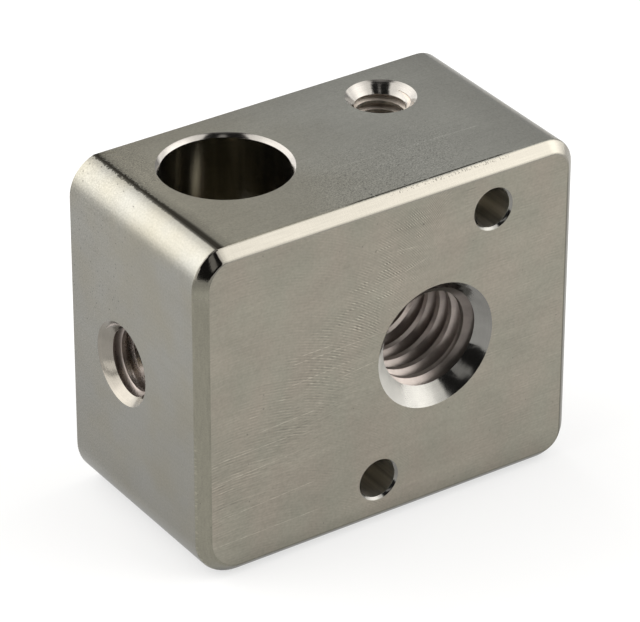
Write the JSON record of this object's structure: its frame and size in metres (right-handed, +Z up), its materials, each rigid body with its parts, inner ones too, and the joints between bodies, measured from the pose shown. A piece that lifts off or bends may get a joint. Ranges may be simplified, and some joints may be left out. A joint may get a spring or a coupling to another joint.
{
  "type": "heater block",
  "caption": "Small machined metal heater block with a cartridge heater bore, a countersunk nozzle thread, side and top screw threads, and small blind sensor bores.",
  "frame": {"origin": "middle of the base, on the bottom face", "axes": "+X to the right along the wide front face, +Y from the front face to the back, +Z up along the heater bore"},
  "size_m": [0.022, 0.0116, 0.0182],
  "materials": {
    "nickel_plate": "satin nickel plate over fine milling marks"
  },
  "bodies": {
    "root": {"heater_block": "nickel_plate"}
  },
  "joints": []
}
